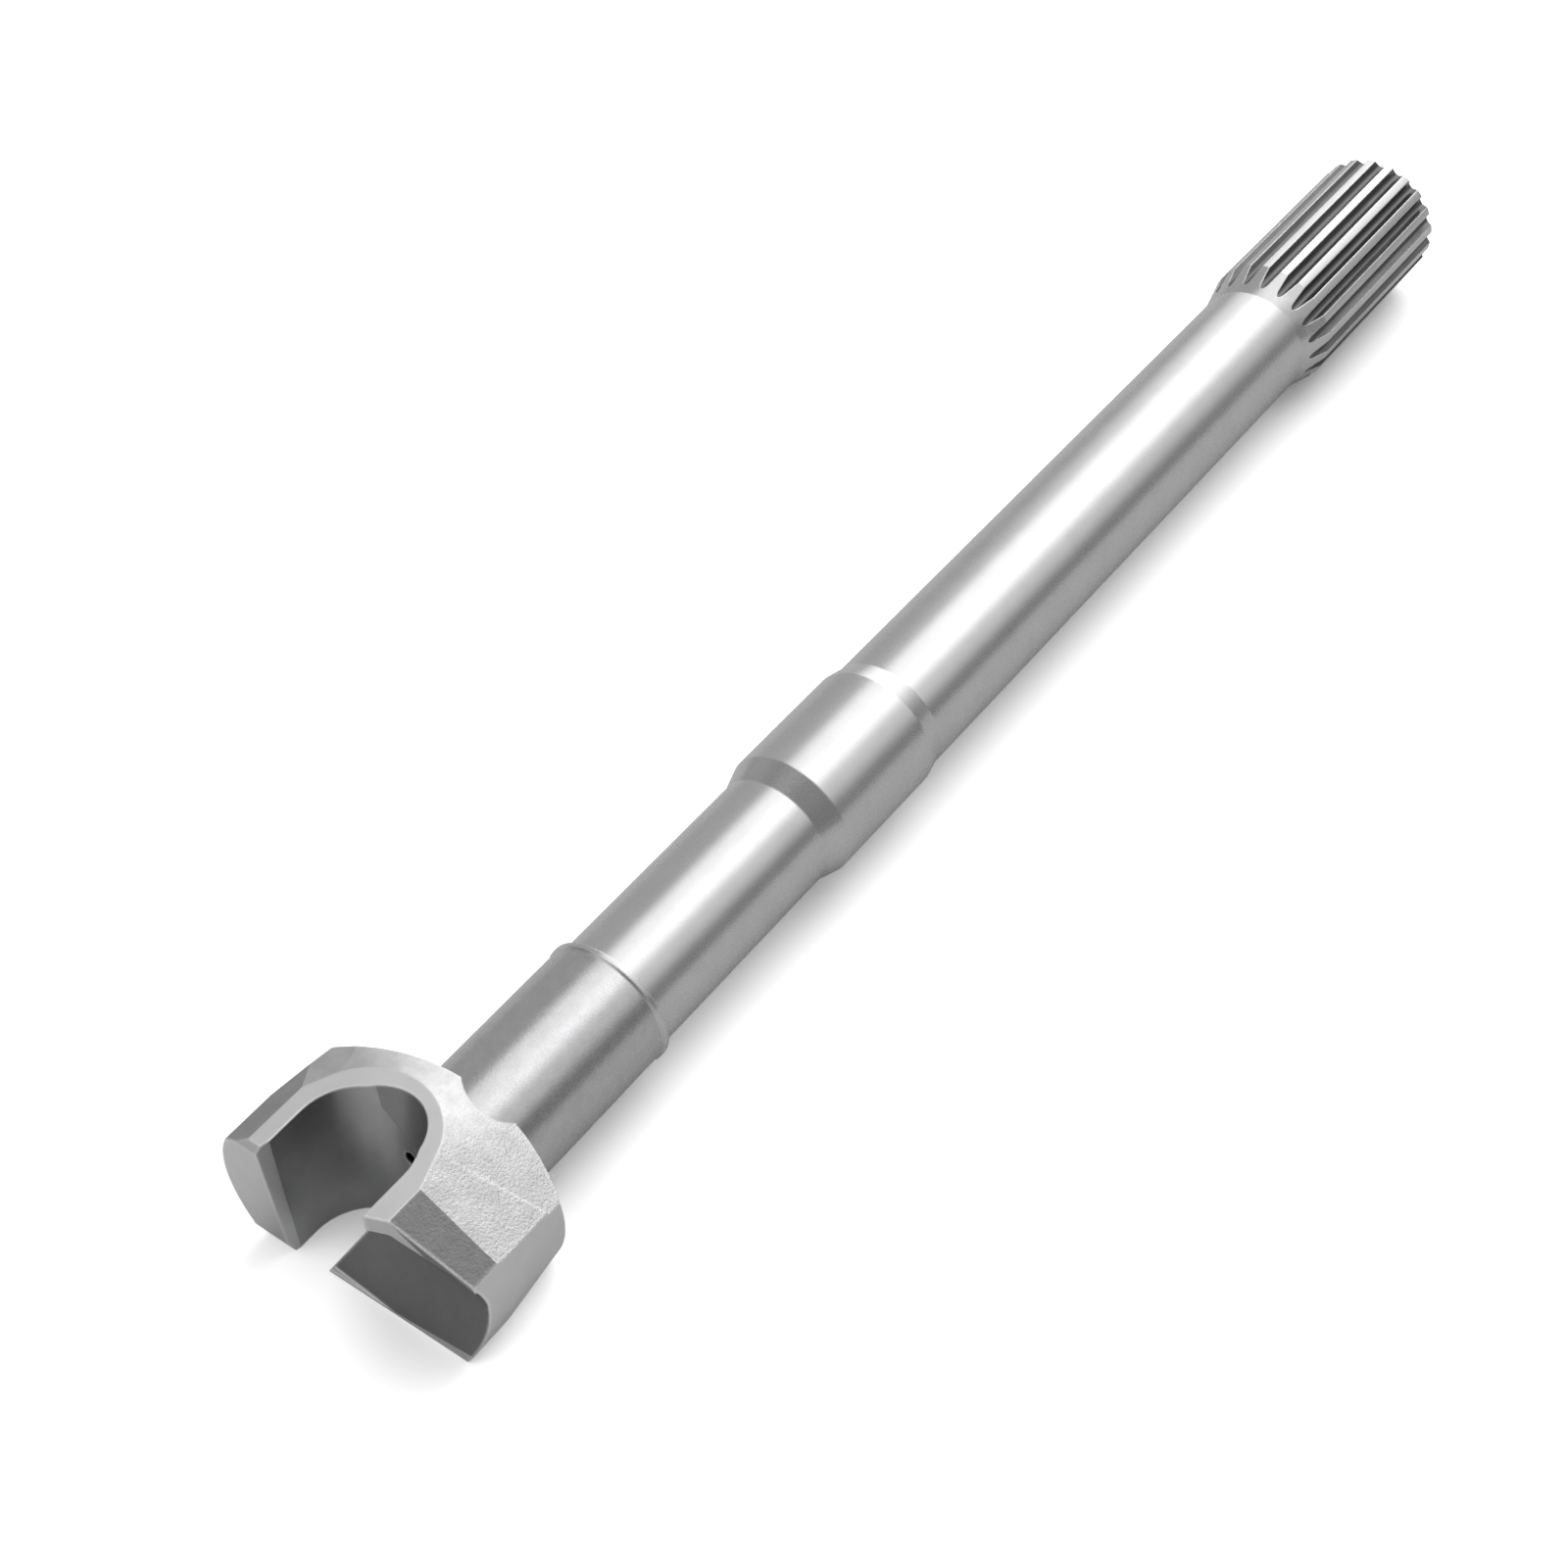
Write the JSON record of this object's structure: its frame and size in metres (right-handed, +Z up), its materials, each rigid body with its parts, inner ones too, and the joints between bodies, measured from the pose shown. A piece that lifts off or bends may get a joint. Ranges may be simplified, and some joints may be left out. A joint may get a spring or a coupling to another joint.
{
  "type": "axle shaft",
  "caption": "Steel axle shaft with an open fork jaw and cross bore at one end, a bearing land and bead along its length, and an external spline at the other end.",
  "frame": {"origin": "on the shaft's axis, level with the centre of the jaw's bore at the bottom of the head", "axes": "+X runs along the shaft from the jaw to the spline, +Y points away from the arm with the pocket, to the plain arm, +Z points up through the jaw, square to the head's flat underside"},
  "size_m": [0.6472, 0.1, 0.056],
  "materials": {
    "steel": "machined shaft, forged head, satin"
  },
  "bodies": {
    "root": {"fork_shaft": "steel"}
  },
  "joints": []
}
